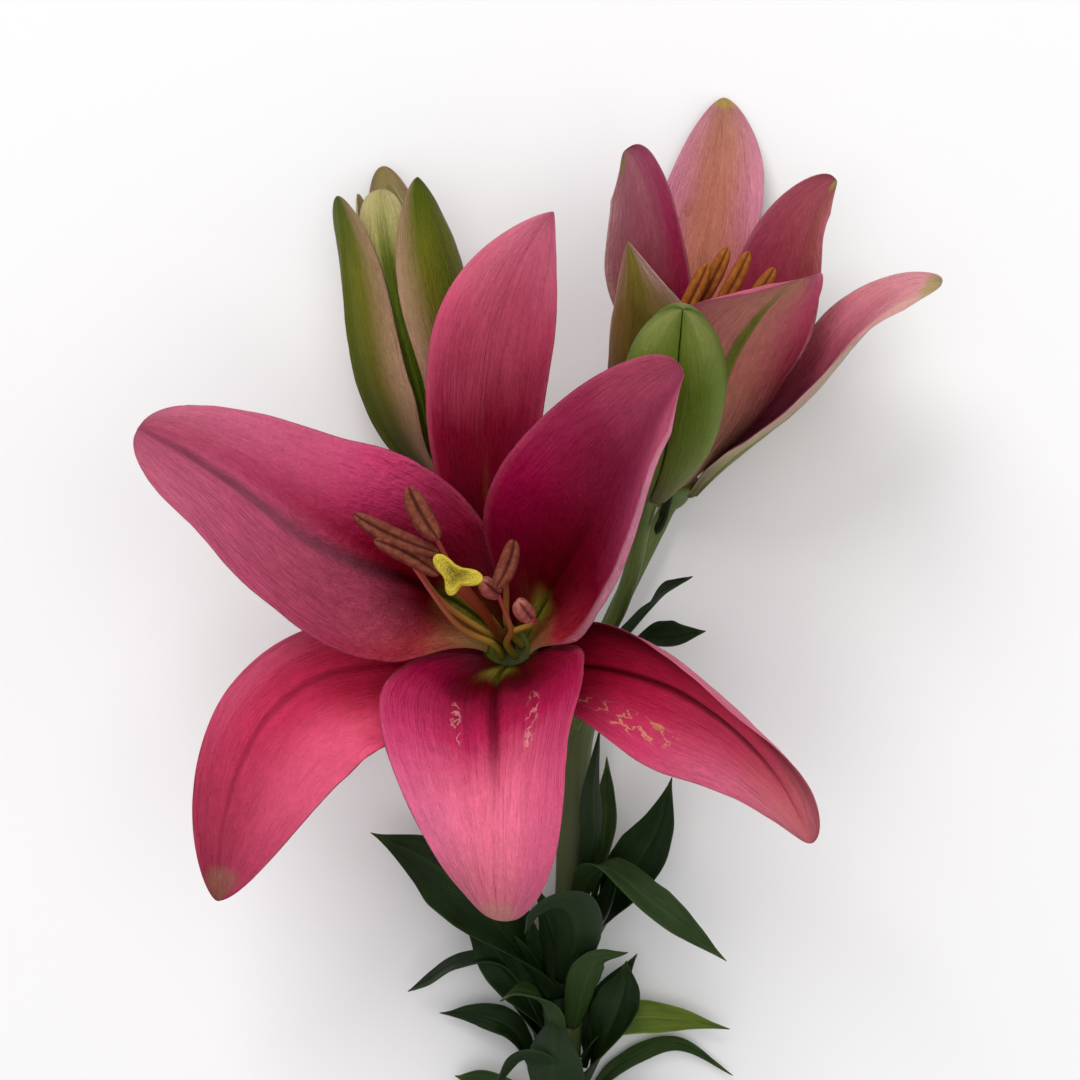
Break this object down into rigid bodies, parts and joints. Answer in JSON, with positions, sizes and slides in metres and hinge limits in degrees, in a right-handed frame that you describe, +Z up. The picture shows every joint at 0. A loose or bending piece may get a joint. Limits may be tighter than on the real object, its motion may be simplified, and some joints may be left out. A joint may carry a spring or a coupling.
{
  "type": "cut lily stem",
  "caption": "Cut lily stem lying down: an open flower with reflexed petals, a half-open flower, a loosening bud, a closed bud and narrow leaves along the stem.",
  "frame": {"origin": "middle of the footprint, on the table", "axes": "+Y along the stem towards the flowers, +Z up from the table, out of the open flower's face"},
  "size_m": [0.189, 0.4066, 0.1126],
  "materials": {
    "stems": "satin",
    "pollen": "matt",
    "filaments": "satin",
    "stigma": "moist",
    "crimson_petals": "satin",
    "rose_petals": "satin",
    "salmon_petals": "satin",
    "dusky_petals": "satin",
    "olive_bud": "satin",
    "green_bud": "satin",
    "yellow_leaf": "satin",
    "leaves": "satin"
  },
  "bodies": {
    "root": {"half_open_flower_stalk": "stems", "half_open_petal_front": "dusky_petals", "half_open_petal_left": "salmon_petals", "half_open_petal_right": "salmon_petals", "half_open_sepal_back": "salmon_petals", "half_open_sepal_left": "dusky_petals", "half_open_sepal_right": "dusky_petals", "half_open_stamens": "filaments", "leaf_bract": "leaves", "leaf_fork_lower": "leaves", "leaf_fork_upper": "leaves", "leaf_front_1": "leaves", "leaf_front_2": "leaves", "leaf_left_1": "leaves", "leaf_left_2": "leaves", "leaf_left_3": "leaves", "leaf_left_4": "leaves", "leaf_left_5": "leaves", "leaf_left_6": "leaves", "leaf_right_1": "leaves", "leaf_right_2": "leaves", "leaf_right_3": "leaves", "leaf_right_4": "leaves", "leaf_right_5": "leaves", "leaf_right_6": "leaves", "leaf_right_7": "yellow_leaf", "leaf_right_8": "leaves", "leaf_right_9": "leaves", "left_bud_petal_front": "green_bud", "left_bud_petal_left": "green_bud", "left_bud_petal_right": "green_bud", "left_bud_sepal_back": "olive_bud", "left_bud_sepal_left": "olive_bud", "left_bud_sepal_right": "olive_bud", "left_bud_stalk": "stems", "open_flower_anther_1": "pollen", "open_flower_anther_2": "pollen", "open_flower_anther_3": "pollen", "open_flower_anther_4": "pollen", "open_flower_anther_5": "pollen", "open_flower_anther_6": "pollen", "open_flower_filament_1": "filaments", "open_flower_filament_2": "filaments", "open_flower_filament_3": "filaments", "open_flower_filament_4": "filaments", "open_flower_filament_5": "filaments", "open_flower_filament_6": "filaments", "open_flower_petal_left": "rose_petals", "open_flower_petal_lower": "rose_petals", "open_flower_petal_right": "crimson_petals", "open_flower_pistil": "stigma", "open_flower_sepal_lower_left": "rose_petals", "open_flower_sepal_lower_right": "rose_petals", "open_flower_sepal_top": "rose_petals", "open_flower_stalk": "stems", "small_bud_sepal_back": "green_bud", "small_bud_sepal_left": "green_bud", "small_bud_sepal_right": "green_bud", "small_bud_stalk": "stems", "stem": "stems"}
  },
  "joints": []
}
